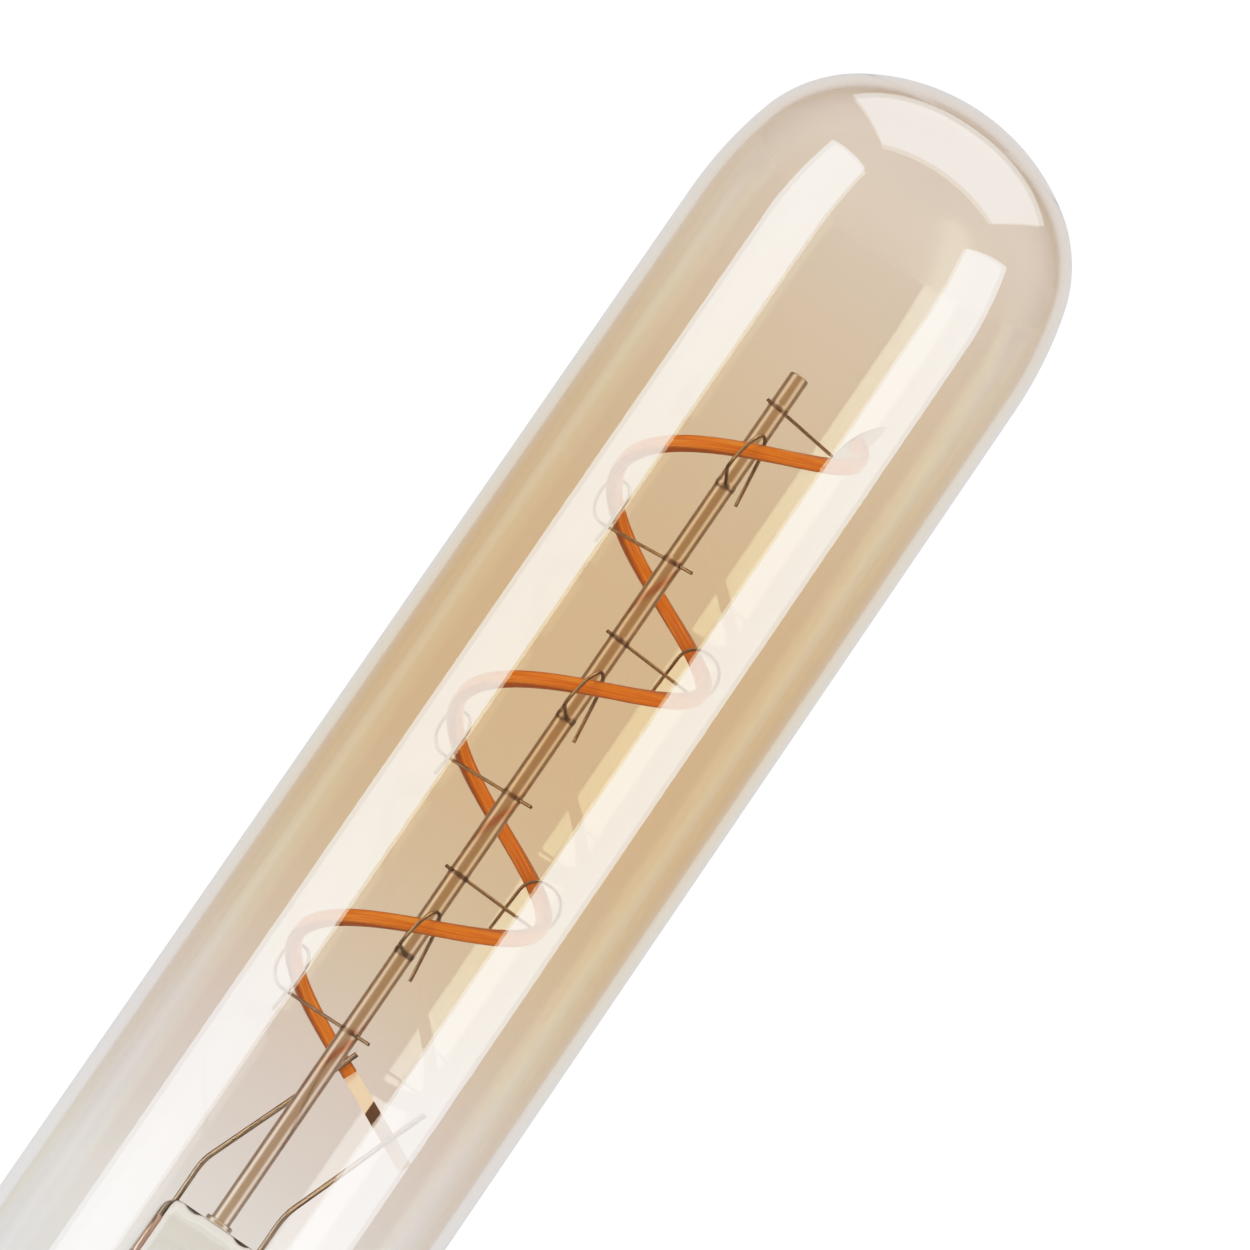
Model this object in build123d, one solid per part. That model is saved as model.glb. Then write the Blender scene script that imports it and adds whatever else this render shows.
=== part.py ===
from build123d import *
import math
import os

# Tubular filament lamp with a spiral strip on a glass mount, in millimetres.
# The origin is the middle of the centre contact's face, and +Z runs along the lamp to the dome.

# Glass envelope
tube_diameter = 32.0
glass_wall = 1.0
tube_length = 100.3  # straight part, from the shoulder to the dome
dome_height = 18.5
dome_ease_radius = 34.0  # slow start of the dome
dome_ease_turn = 15.0
knuckle_radius = 11.5  # round between the slow start and the flatter top of the dome
shoulder_height = 11.5
neck_diameter = 23.0
neck_stand = 1.5  # bare neck between the cap and the shoulder
neck_insertion = 6.0  # neck inside the cap

# Screw cap
cap_height = 27.0
thread_crest_diameter = 26.4
thread_root_diameter = 24.1
thread_pitch = 3.629
thread_fade = 2.4  # height over which the ridge rises at its lower end
ridge_width = 2.9
ridge_shoulder_width = 1.7
crest_width = 0.7
crest_drop = 0.29  # from the crest to the shoulder of the ridge
shell_sheet = 0.25
collar_height = 6.4
collar_diameter = 26.1
lip_diameter = 19.2
lip_level = 6.0  # lower edge of the shell above the contact's face
insulator_flange = 1.2
insulator_floor = 2.6
contact_diameter = 9.6
contact_flat = 6.0
contact_height = 1.2
eyelet_diameter = 2.6

# Stem and rod
stem_height = 29.0  # from the seal rim to the top of the press
stem_wall = 0.9
flare_height = 10.0
flare_gap = 0.3  # between the flare and the neck's bore
press_width = 9.4
press_thickness = 3.4
press_height = 5.0  # flat part of the press
press_shoulder = 1.6
press_dip = 0.45
press_margin = 0.3  # by which the outlines of the top stand outside the plan
pinch_height = 4.0  # from the round stem to the flat press
exhaust_diameter = 4.0
exhaust_wall = 0.7
exhaust_tail = 4.0  # sealed tip below the seal rim
socket_depth = 0.9  # exhaust tube inside the pinch
chamber_height = 1.5  # above the end of the exhaust tube
vent_diameter = 1.0
rod_diameter = 1.7
rod_height = 82.6  # above the press
rod_seat = 1.2
boss_rim = 0.35  # glass round the foot of the rod
boss_rise = 0.4

# Filament strip
coil_radius = 7.9
coil_pitch = 22.88
coil_turns = 2.82
coil_start = 90.0  # angle of the lower end about Z
coil_rise = 16.8  # lower end above the press
strip_width = 1.25
strip_depth = 1.1
strip_corner = 0.3
strip_tail = 2.2  # straight coated end
tab_thickness = 0.2
lower_tab_length = 10.5
lower_tab_width = 1.2
tab_grip = 1.6  # lower tab inside the strip
tab_overhang = 2.7  # lower tab past its weld
upper_tab_length = 5.4
upper_tab_width = 1.5
upper_tab_lean = 14.0

# Support wires
support_diameter = 0.3
support_count = 9
support_step = 120.0
loop_radius = 1.85
loop_slack = 0.07  # by which the loop's bends are smaller than the loop
loop_tail = 1.9
loop_shift = 2.1  # sideways travel of the wire round its loop
support_stubs = (1.3, 1.1, 0.5)  # past the rod, in turn up the coil
support_reach = 0.4  # top support past the coil radius

# Leads
lead_diameter = 0.47
seal_wire_diameter = 0.52
outer_lead_diameter = 0.4
lead_cover = 0.8  # glass between a lead and the press's side
lead_depth = 1.9  # inner lead inside the press
lead_stand = 3.6  # upright stretch above the press
lead_bend = 3.0
lead_hook = 2.6  # last stretch, flat against what it is welded to
lead_overrun = 3.6
wire_bend = 1.0
shell_wire_bend = 0.4

# Driver
board_thickness = 1.0
board_gap = 0.1
bridge_size = (4.6, 3.8, 1.8)
chip_size = (4.9, 3.9, 1.5)
resistor_size = (3.1, 1.6, 0.6)
capacitor_diameter = 4.0
capacitor_height = 6.5
capacitor_pitch = 1.8  # between the capacitor's leads
capacitor_lead = 0.45
part_offset = 6.6  # middle of each part on the board from the axis
contact_wire_diameter = 0.6

seat_gap = 0.01  # round pieces in their holes
touch_gap = 0.02  # wires laid against another piece

# Levels and radii that follow from the sizes above
seal_level = cap_height - neck_insertion
shoulder_bottom = cap_height + neck_stand
shoulder_top = shoulder_bottom + shoulder_height
dome_base = shoulder_top + tube_length
ease_x = tube_diameter / 2 - dome_ease_radius
knuckle_x = ease_x + (dome_ease_radius - knuckle_radius) * math.cos(math.radians(dome_ease_turn))
knuckle_z = dome_base + (dome_ease_radius - knuckle_radius) * math.sin(math.radians(dome_ease_turn))
knuckle_rise = dome_base + dome_height - knuckle_z
dome_radius = (knuckle_x**2 + knuckle_rise**2 - knuckle_radius**2) / (2 * (knuckle_rise - knuckle_radius))
dome_turn = math.degrees(math.atan2(knuckle_x, dome_radius - knuckle_rise))
press_top = seal_level + stem_height
press_bottom = press_top - press_height
pinch_bottom = press_bottom - pinch_height
insulator_seat = lip_level + shell_sheet * math.sqrt(2)
coil_bottom = press_top + coil_rise
coil_slope = math.atan(coil_pitch / (2 * math.pi * coil_radius))
shell_root = thread_root_diameter / 2
shell_bore = shell_root - shell_sheet
lip_radius = lip_diameter / 2
board_bottom = insulator_seat + shell_bore - lip_radius + insulator_flange
board_top = board_bottom + board_thickness
neck_radius = neck_diameter / 2
stem_radius = press_width / 2
stem_bore = stem_radius - stem_wall
flare_radius = neck_radius - glass_wall - flare_gap
flare_top = seal_level + flare_height
rim_bottom = seal_level - stem_wall
socket_top = pinch_bottom + 2 * socket_depth
chamber_top = socket_top + chamber_height
lead_x = press_width / 2 - lead_cover
outer_lead_x = (exhaust_diameter / 2 + stem_bore) / 2


def turned(outline):
    """Solid of revolution about Z from an outline of radius and height."""
    return revolve(Plane.XZ * make_face(outline), Axis.Z)


def wire(points, diameter, bend=wire_bend):
    """Round wire along straight runs joined by tangent arcs."""
    path = Line(*points) if len(points) == 2 else FilletPolyline(*points, radius=bend)
    return sweep(Plane(origin=path @ 0, z_dir=path % 0) * Circle(diameter / 2), path=path)


def rod_between(radius, low, high):
    """Upright cylinder on the axis between two levels."""
    return Pos(0, 0, low) * extrude(Circle(radius), high - low)


def envelope_outline(inset):
    """Half outline of the glass from the neck's end to the top of the dome."""
    neck_r = neck_radius - inset
    tube_r = tube_diameter / 2 - inset
    waist = ((neck_r + tube_r) / 2, (shoulder_bottom + shoulder_top) / 2)
    neck = Line((neck_r, seal_level), (neck_r, shoulder_bottom))
    lower = TangentArc(neck @ 1, waist, tangent=neck % 1)
    upper = TangentArc(waist, (tube_r, shoulder_top), tangent=lower % 1)
    tube = Line(upper @ 1, (tube_r, dome_base))
    ease = CenterArc((ease_x, dome_base), dome_ease_radius - inset, 0, dome_ease_turn)
    knuckle_turn = 90 - dome_turn - dome_ease_turn
    knuckle = CenterArc((knuckle_x, knuckle_z), knuckle_radius - inset, dome_ease_turn, knuckle_turn)
    dome = TangentArc(knuckle @ 1, (0, dome_base + dome_height - inset), tangent=knuckle % 1)
    return [neck, lower, upper, tube, ease, knuckle, dome]


def glass_envelope():
    outer = envelope_outline(0)
    inner = envelope_outline(glass_wall)
    axis = Line(outer[-1] @ 1, inner[-1] @ 1)
    rim = Line(outer[0] @ 0, inner[0] @ 0)
    return turned(outer + inner + [axis, rim])


# Stem: flare, pinch and press, with seats for the rod, the exhaust tube and the wires
def flare_body():
    """Solid flare with its rim under the end of the neck."""
    arc = TangentArc((stem_radius, flare_top), (flare_radius, seal_level), tangent=(0, -1))
    rim = Polyline(arc @ 1, (neck_radius, seal_level), (neck_radius, rim_bottom), (0, rim_bottom))
    axis = Polyline((0, rim_bottom), (0, pinch_bottom), (stem_radius, pinch_bottom), arc @ 0)
    return turned([arc, rim, axis])


def flare_cavity():
    """Space inside the flare, with the exhaust tube's socket at its top."""
    socket_r = exhaust_diameter / 2 + seat_gap
    duct_r = exhaust_diameter / 2 - exhaust_wall
    arc = TangentArc((stem_bore, flare_top), (flare_radius - stem_wall, rim_bottom), tangent=(0, -1))
    mouth = Polyline(arc @ 1, (0, rim_bottom), (0, chamber_top))
    roof = Polyline(
        (0, chamber_top),
        (duct_r, chamber_top),
        (duct_r, socket_top),
        (socket_r, socket_top),
        (socket_r, pinch_bottom + socket_depth),
        (stem_bore, pinch_bottom),
        arc @ 0,
    )
    return turned([arc, mouth, roof])


def press_front():
    """Front outline of the press, dipping between the leads and the rod."""
    half = press_width / 2 + press_margin
    crown_x = press_width / 2 - press_shoulder
    boss_x = rod_diameter / 2 + boss_rim + press_margin
    middle_x = (crown_x + boss_x) / 2
    shoulder_level = press_top - press_shoulder
    edges = [
        Line((-half, press_bottom), (half, press_bottom)),
        Line((-boss_x, press_top), (boss_x, press_top)),
    ]
    for side in (-1, 1):
        flank = Line((side * half, press_bottom), (side * half, shoulder_level))
        shoulder = TangentArc(flank @ 1, (side * crown_x, press_top), tangent=(0, 1))
        dip = ThreePointArc(
            (side * crown_x, press_top),
            (side * middle_x, press_top - press_dip),
            (side * boss_x, press_top),
        )
        edges += [flank, shoulder, dip]
    return make_face(edges)


def press_side():
    """Side outline of the press, rounded over its top."""
    half = press_thickness / 2 + press_margin
    box = Polyline(
        (-half, press_top - half),
        (-half, press_bottom),
        (half, press_bottom),
        (half, press_top - half),
    )
    crown = ThreePointArc((-half, press_top - half), (0, press_top), (half, press_top - half))
    return make_face([box, crown])


def lead_route(side):
    """Points of a seal wire and an outer lead, from the inner lead's end down to the board."""
    return [
        (side * lead_x, 0, press_top - lead_depth),
        (side * lead_x, 0, press_bottom),
        (side * outer_lead_x, 0, pinch_bottom),
        (side * outer_lead_x, 0, board_bottom - board_thickness),
    ]


def glass_stem():
    plan = SlotOverall(press_width, press_thickness)
    pinch = loft([Pos(0, 0, pinch_bottom) * Circle(stem_radius), Pos(0, 0, press_bottom) * plan])
    front = extrude(Plane.XZ * press_front(), press_thickness, both=True)
    side = extrude(Plane.YZ * press_side(), press_width, both=True)
    block = Pos(0, 0, press_bottom) * extrude(plan, press_height)
    boss = rod_between(rod_diameter / 2 + boss_rim, press_top - press_dip, press_top + boss_rise)
    stem = flare_body() + pinch + (block & front & side) + boss
    stem -= flare_cavity()
    vent_level = (socket_top + chamber_top) / 2
    stem -= wire([(0, 0, vent_level), (0, -stem_radius, vent_level)], vent_diameter)
    stem -= rod_between(rod_diameter / 2 + seat_gap, press_top - rod_seat, press_top + boss_rise)
    for side in (-1, 1):
        top = (side * lead_x, 0, press_top)
        route = lead_route(side)
        stem -= wire([route[0], top], lead_diameter + 2 * seat_gap)
        stem -= wire(route[:3], seal_wire_diameter + 2 * seat_gap)
    return stem


def exhaust_tube():
    outer_r = exhaust_diameter / 2
    inner_r = outer_r - exhaust_wall
    tip = seal_level - exhaust_tail
    outer_tip = CenterArc((0, tip + outer_r), outer_r, -90, 90)
    inner_tip = CenterArc((0, tip + outer_r), inner_r, -90, 90)
    wall = Polyline(outer_tip @ 1, (outer_r, socket_top), (inner_r, socket_top), inner_tip @ 1)
    return turned([outer_tip, wall, inner_tip, Line(inner_tip @ 0, outer_tip @ 0)])


# Filament strip, its end tabs and the wires that carry it
def coil_point(angle, radius=coil_radius, lift=0.0, aside=0.0):
    """Point beside the coil, by its angle from the lower end."""
    turn = math.radians(coil_start + angle)
    x = radius * math.cos(turn) - aside * math.sin(turn)
    y = radius * math.sin(turn) + aside * math.cos(turn)
    return (x, y, coil_bottom + coil_pitch * angle / 360 + lift)


def filament_strip():
    path = Helix(coil_pitch, coil_pitch * coil_turns, coil_radius)
    start = Plane(origin=path @ 0, x_dir=(1, 0, 0), z_dir=path % 0)
    section = start * chamfer(Rectangle(strip_depth, strip_width).vertices(), strip_corner)
    strip = sweep(section, path=path, is_frenet=True) + extrude(section, -strip_tail)
    return Pos(0, 0, coil_bottom) * Rot(0, 0, coil_start) * strip


def lower_end_tab():
    middle = strip_tail - tab_grip + lower_tab_length / 2
    blank = Pos(middle, 0, 0) * Box(lower_tab_length, tab_thickness, lower_tab_width)
    return Pos(0, coil_radius, coil_bottom) * Rot(0, math.degrees(coil_slope), 0) * blank


def upper_end_tab():
    """Leaf with pointed ends, flat on the end of the strip, its upper point leaning outwards."""
    half = upper_tab_length / 2
    leaf = [ThreePointArc((-half, 0), (0, side * upper_tab_width / 2), (half, 0)) for side in (-1, 1)]
    turn = math.radians(coil_start + 360 * coil_turns)
    radial = Vector(math.cos(turn), math.sin(turn), 0)
    around = Vector(-math.sin(turn), math.cos(turn), 0)
    along = around * math.cos(coil_slope) + Vector(0, 0, math.sin(coil_slope))
    seat = Plane(origin=coil_point(360 * coil_turns), x_dir=radial.cross(along), z_dir=along)
    return seat * Rot(0, 0, upper_tab_lean) * extrude(make_face(leaf), tab_thickness)


def support_angle(index):
    """Angle of a support from the strip's lower end, with the last one at its upper end."""
    return 360 * coil_turns - support_step * (support_count - 1 - index)


def support_stub(index):
    return support_stubs[index % len(support_stubs)]


def support_shank(index):
    """Ends of the straight stretch through the rod, under the strip."""
    angle = support_angle(index)
    inner = -rod_diameter / 2 - support_stub(index)
    outer = coil_radius + loop_radius
    return coil_point(angle, inner, -loop_radius), coil_point(angle, outer, -loop_radius)


def top_shank():
    """Ends of the top support, which lies against the back of the upper tab."""
    drop = loop_radius / math.cos(coil_slope)
    back = drop * math.sin(coil_slope)
    back += (tab_thickness + support_diameter / 2 + touch_gap) / math.cos(coil_slope)
    tab_edge = coil_radius - drop * math.tan(math.radians(upper_tab_lean)) - upper_tab_width / 2
    touch = Vector(coil_point(360 * coil_turns, tab_edge, -loop_radius, back))
    axis = Vector(0, 0, touch.Z)
    outward = (touch - axis).normalized()
    tip = axis + outward * (coil_radius + support_reach)
    return axis - outward * (rod_diameter / 2 + support_stub(support_count - 1)), tip


def support_wire(index):
    angle = support_angle(index)
    far = coil_radius + loop_radius
    near = coil_radius - loop_radius
    points = [
        *support_shank(index),
        coil_point(angle, far, loop_radius, loop_shift / 3),
        coil_point(angle, near, loop_radius, loop_shift * 2 / 3),
        coil_point(angle, near, -loop_radius - loop_tail, loop_shift),
    ]
    return wire(points, support_diameter, loop_radius - loop_slack)


def centre_rod():
    rod = rod_between(rod_diameter / 2, press_top - rod_seat, press_top + rod_height)
    for index in range(support_count):
        ends = top_shank() if index == support_count - 1 else support_shank(index)
        rod -= wire(ends, support_diameter + 2 * seat_gap)
    return rod


def inner_lead(side):
    """Lead from the press to the strip's face on the left, or to the lower tab's face on the right."""
    carrier = strip_depth if side < 0 else tab_thickness
    reach = strip_tail / 2 if side < 0 else strip_tail + lower_tab_length - tab_grip - tab_overhang
    face_y = coil_radius - carrier / 2 - lead_diameter / 2 - touch_gap
    weld_x = reach * math.cos(coil_slope)
    weld_z = coil_bottom - reach * math.sin(coil_slope)
    foot = Vector(side * lead_x, 0, press_top - lead_depth)
    knee = Vector(side * lead_x, 0, press_top + lead_stand)
    rise = Vector(weld_x, face_y, weld_z) - knee
    lean = Vector(rise.X, 0, rise.Z).normalized()
    weld = Vector(weld_x, face_y, weld_z)
    end = weld + lean * (lead_overrun if side > 0 else lead_hook / 2)
    points = [foot, knee, weld - lean * (lead_hook / 2), end]
    return wire(points, lead_diameter, [lead_bend, wire_bend])


def seal_wire(side):
    return wire(lead_route(side)[:3], seal_wire_diameter)


def outer_lead(side):
    return wire(lead_route(side)[2:], outer_lead_diameter)


# Screw cap
def thread_ridge(low, high):
    """Helical ridge of the rolled thread, rising out of the shell and running out under the collar."""
    depth = (thread_crest_diameter - thread_root_diameter) / 2
    upper = [
        (-shell_sheet / 2, ridge_width / 2),
        (0, ridge_width / 2),
        (depth - crest_drop, ridge_shoulder_width / 2),
        (depth, crest_width / 2),
    ]
    lower = [(out, -up) for out, up in reversed(upper)]
    path = Pos(0, 0, low) * Helix(thread_pitch, high - low + ridge_width, shell_root)
    start = Plane(origin=path @ 0, x_dir=(1, 0, 0), z_dir=path % 0)
    ridge = sweep(start * make_face(Polyline(*upper, *lower, close=True)), path=path, is_frenet=True)
    clear_r = shell_root + 2 * depth
    hull = Polyline(
        (0, low),
        (shell_root, low),
        (clear_r, low + 2 * thread_fade),
        (clear_r, high),
        (0, high),
        close=True,
    )
    return ridge & turned(hull)


def screw_shell():
    collar_r = collar_diameter / 2
    collar_bottom = cap_height - collar_height
    step = collar_r - shell_root
    cone_top = lip_level + shell_root - lip_radius
    skew = shell_sheet * (math.sqrt(2) - 1)
    blank = Polyline(
        (0, lip_level),
        (lip_radius, lip_level),
        (shell_root, cone_top),
        (shell_root, collar_bottom - step),
        (collar_r, collar_bottom),
        (collar_r, cap_height),
        (0, cap_height),
        (0, lip_level),
    )
    hollow = Polyline(
        (0, lip_level),
        (lip_radius, lip_level),
        (lip_radius, insulator_seat),
        (shell_bore, cone_top + skew),
        (shell_bore, collar_bottom - step + skew),
        (collar_r - shell_sheet, collar_bottom + skew),
        (collar_r - shell_sheet, cap_height),
        (0, cap_height),
        (0, lip_level),
    )
    return turned(blank) + thread_ridge(cone_top, collar_bottom - step / 2) - turned(hollow)


def base_insulator():
    well_r = contact_diameter / 2
    outline = Polyline(
        (eyelet_diameter / 2, contact_height),
        (well_r, contact_height),
        (lip_radius, lip_level),
        (lip_radius, insulator_seat),
        (shell_bore, board_bottom - insulator_flange),
        (shell_bore, board_bottom),
        (lip_radius, board_bottom),
        (well_r, contact_height + insulator_floor),
        (eyelet_diameter / 2, contact_height + insulator_floor),
        (eyelet_diameter / 2, contact_height),
    )
    return turned(outline)


def centre_contact():
    bore = contact_wire_diameter / 2 + seat_gap
    edge = TangentArc((contact_flat / 2, 0), (contact_diameter / 2, contact_height), tangent=(1, 0))
    eyelet_top = contact_height + insulator_floor
    rest = Polyline(
        edge @ 1,
        (eyelet_diameter / 2, contact_height),
        (eyelet_diameter / 2, eyelet_top),
        (bore, eyelet_top),
        (bore, contact_height / 2),
        (0, contact_height / 2),
        (0, 0),
        edge @ 0,
    )
    return turned([edge, rest])


def base_cement():
    low = cap_height - collar_height + shell_sheet
    outer_r = collar_diameter / 2 - shell_sheet
    return Pos(0, 0, low) * extrude(Circle(outer_r) - Circle(neck_radius), cap_height - low)


# Driver inside the cap
def on_board(angle, size):
    """Rectangular part on the top of the board, turned to face the axis."""
    return Rot(0, 0, angle) * Pos(part_offset, 0, board_top + size[2] / 2) * Box(size[1], size[0], size[2])


def driver_board():
    board = Pos(0, 0, board_bottom) * extrude(Circle(shell_bore - board_gap), board_thickness)
    for side in (-1, 1):
        board -= wire(lead_route(side)[2:], outer_lead_diameter + 2 * seat_gap)
        board -= capacitor_pin(side, capacitor_lead + 2 * seat_gap)
    board -= contact_wire(contact_wire_diameter + 2 * seat_gap)
    board -= shell_wire(outer_lead_diameter + 2 * seat_gap)
    return board


def capacitor_pin(side, diameter):
    """Capacitor lead through the board."""
    x = side * capacitor_pitch / 2
    return wire([(x, -part_offset, board_bottom), (x, -part_offset, board_top)], diameter)


def smoothing_capacitor():
    can = Pos(0, -part_offset, board_top) * extrude(Circle(capacitor_diameter / 2), capacitor_height)
    return can + [capacitor_pin(side, capacitor_lead) for side in (-1, 1)]


def contact_wire(diameter):
    """Wire from the board down into the contact's eyelet."""
    knee = contact_height + insulator_floor + wire_bend
    pad = board_bottom - wire_bend
    aside = part_offset / 2
    points = [(0, 0, contact_height / 2), (0, 0, knee), (0, aside, pad), (0, aside, board_top)]
    return wire(points, diameter)


def shell_wire(diameter):
    """Wire from the board up to the shell's wall."""
    wall = shell_bore - outer_lead_diameter / 2 - touch_gap
    inside = wall - 2 * wire_bend
    top = (board_top + seal_level - stem_wall) / 2
    points = [(0, inside, board_bottom), (0, inside, top), (0, wall, top), (0, wall, top + 2 * wire_bend)]
    return wire(points, diameter, shell_wire_bend)


nodes = {
    "glass_envelope": glass_envelope(),
    "glass_stem": glass_stem(),
    "exhaust_tube": exhaust_tube(),
    "centre_rod": centre_rod(),
    "filament_strip": filament_strip() - lower_end_tab(),
    "lower_end_tab": lower_end_tab(),
    "upper_end_tab": upper_end_tab(),
    "screw_shell": screw_shell(),
    "base_insulator": base_insulator(),
    "centre_contact": centre_contact(),
    "base_cement": base_cement(),
    "driver_board": driver_board(),
    "bridge_rectifier": on_board(0, bridge_size),
    "driver_chip": on_board(180, chip_size),
    "fuse_resistor": on_board(135, resistor_size),
    "sense_resistors": on_board(225, resistor_size) + on_board(315, resistor_size),
    "smoothing_capacitor": smoothing_capacitor(),
    "contact_wire": contact_wire(contact_wire_diameter),
    "shell_wire": shell_wire(outer_lead_diameter),
}
for index in range(support_count - 1):
    nodes[f"support_wire_{index + 1}"] = support_wire(index)
nodes[f"support_wire_{support_count}"] = wire(top_shank(), support_diameter)
for name, side in (("left", -1), ("right", 1)):
    nodes[f"inner_lead_{name}"] = inner_lead(side)
    nodes[f"seal_wire_{name}"] = seal_wire(side)
    nodes[f"outer_lead_{name}"] = outer_lead(side)

os.makedirs("parts", exist_ok=True)
for name, solid in nodes.items():
    export_step(solid, f"parts/{name}.step")
    print(name, round(solid.volume, 3))
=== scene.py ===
import math

import bmesh
import bpy
from mathutils import Matrix, Quaternion, Vector


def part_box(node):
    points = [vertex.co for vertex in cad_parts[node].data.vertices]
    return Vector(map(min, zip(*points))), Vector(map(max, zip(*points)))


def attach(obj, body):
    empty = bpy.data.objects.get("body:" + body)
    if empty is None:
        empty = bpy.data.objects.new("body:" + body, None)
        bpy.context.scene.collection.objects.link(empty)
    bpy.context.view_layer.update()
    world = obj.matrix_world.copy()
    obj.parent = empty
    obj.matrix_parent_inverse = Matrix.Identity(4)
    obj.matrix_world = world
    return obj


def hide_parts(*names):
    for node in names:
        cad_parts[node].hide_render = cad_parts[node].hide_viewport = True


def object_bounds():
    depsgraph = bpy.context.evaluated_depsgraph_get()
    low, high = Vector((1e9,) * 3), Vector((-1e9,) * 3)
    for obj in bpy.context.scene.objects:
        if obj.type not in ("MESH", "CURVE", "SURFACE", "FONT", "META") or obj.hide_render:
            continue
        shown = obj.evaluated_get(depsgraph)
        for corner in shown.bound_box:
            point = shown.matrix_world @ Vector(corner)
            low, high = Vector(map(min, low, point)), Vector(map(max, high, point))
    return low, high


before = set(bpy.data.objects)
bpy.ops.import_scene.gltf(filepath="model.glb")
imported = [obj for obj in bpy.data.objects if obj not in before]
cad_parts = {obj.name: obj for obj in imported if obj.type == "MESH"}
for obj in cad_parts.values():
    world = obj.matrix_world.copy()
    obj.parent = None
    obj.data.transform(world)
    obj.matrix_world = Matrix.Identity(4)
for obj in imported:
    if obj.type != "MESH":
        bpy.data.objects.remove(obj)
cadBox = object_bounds()
mm = 0.001  # sizes below are in millimetres, the scene is in metres
mergeGap = 0.002 * mm
nearZero = 1e-6
up = Vector((0, 0, 1))
white = (1, 1, 1, 1)
print("frame loaded:", len(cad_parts), "nodes")


# Node helpers
def feed(tree, node, inputs):  # sockets are linked, plain values are set
    for name, value in inputs.items():
        if isinstance(value, bpy.types.NodeSocket):
            tree.links.new(value, node.inputs[name])
        else:
            node.inputs[name].default_value = value
    return node


def addNode(tree, kind, inputs):
    return feed(tree, tree.nodes.new(kind), inputs)


def newMaterial(name, values):
    material = bpy.data.materials.new(name)
    material.use_nodes = True
    tree = material.node_tree
    shader = feed(tree, tree.nodes["Principled BSDF"], values)
    return material, tree, shader


def objectPoint(tree):
    return tree.nodes.new("ShaderNodeTexCoord").outputs["Object"]


def splitVector(tree, vector):
    return addNode(tree, "ShaderNodeSeparateXYZ", {"Vector": vector}).outputs


def heightOf(tree):
    return splitVector(tree, objectPoint(tree))["Z"]


def lightPath(tree):
    return tree.nodes.new("ShaderNodeLightPath").outputs


def facing(tree):  # 0 where the surface faces the viewer, 1 at its outline
    return tree.nodes.new("ShaderNodeLayerWeight").outputs["Facing"]


def mapRange(tree, socket, fromLow, fromHigh, toLow=0.0, toHigh=1.0):
    ends = {"From Min": fromLow, "From Max": fromHigh, "To Min": toLow, "To Max": toHigh}
    return addNode(tree, "ShaderNodeMapRange", {"Value": socket, **ends}).outputs["Result"]


def doMath(tree, operation, *operands, kind="ShaderNodeMath"):
    node = tree.nodes.new(kind)
    node.operation = operation
    return feed(tree, node, dict(enumerate(operands))).outputs["Value"]


mixPlaces = {"FLOAT": (2, 3, 0), "RGBA": (6, 7, 2)}  # of A, B and the result among a Mix node's sockets


def mixValues(tree, kind, factor, first, second, blend="MIX"):
    mix = tree.nodes.new("ShaderNodeMix")
    mix.data_type = kind
    mix.blend_type = blend
    firstPlace, secondPlace, resultPlace = mixPlaces[kind]
    return feed(tree, mix, {0: factor, firstPlace: first, secondPlace: second}).outputs[resultPlace]


def mixSurface(tree, factor, first, second):
    mix = addNode(tree, "ShaderNodeMixShader", {0: factor, 1: first.outputs[0], 2: second.outputs[0]})
    feed(tree, tree.nodes["Material Output"], {"Surface": mix.outputs[0]})


def colorRamp(tree, socket, stops):
    ramp = addNode(tree, "ShaderNodeValToRGB", {"Fac": socket})
    points = ramp.color_ramp.elements
    while len(points) < len(stops):
        points.new(0.5)
    for point, (place, color) in zip(points, stops):
        point.position = place
        point.color = (*color, 1)
    return ramp.outputs["Color"]


def bumpFrom(tree, height, strength, depth):
    values = {"Height": height, "Strength": strength, "Distance": depth * mm}
    return addNode(tree, "ShaderNodeBump", values).outputs["Normal"]


noiseRange = (0.3, 0.7)  # where most values of a noise lie


def makeMarksGroup(name, detail, drawn):  # a value between two limits, and a height for bump
    group = bpy.data.node_groups.new(name, "ShaderNodeTree")
    kinds = {"Vector": "NodeSocketVector"}
    if drawn:
        kinds["Stretch"] = "NodeSocketVector"
    kinds.update({socket: "NodeSocketFloat" for socket in ("Scale", "Low", "High")})
    for socket, kind in kinds.items():
        group.interface.new_socket(socket, in_out="INPUT", socket_type=kind)
    for socket in ("Value", "Height"):
        group.interface.new_socket(socket, in_out="OUTPUT", socket_type="NodeSocketFloat")
    given = group.nodes.new("NodeGroupInput").outputs
    point = given["Vector"]
    if drawn:
        stretch = {"Vector": point, "Scale": given["Stretch"]}
        point = addNode(group, "ShaderNodeMapping", stretch).outputs["Vector"]
    values = {"Vector": point, "Scale": given["Scale"], "Detail": detail}
    noise = addNode(group, "ShaderNodeTexNoise", values).outputs["Fac"]
    value = mapRange(group, noise, *noiseRange, given["Low"], given["High"])
    addNode(group, "NodeGroupOutput", {"Value": value, "Height": noise})
    return group


grainGroup = makeMarksGroup("surfaceGrain", detail=3.0, drawn=False)  # even mottling
drawGroup = makeMarksGroup("drawMarks", detail=2.0, drawn=True)  # drawn out, as on pulled wire


def placeGroup(tree, group, values):
    node = tree.nodes.new("ShaderNodeGroup")
    node.node_tree = group
    return feed(tree, node, {"Vector": objectPoint(tree), **values}).outputs


print("node groups made")


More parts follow.
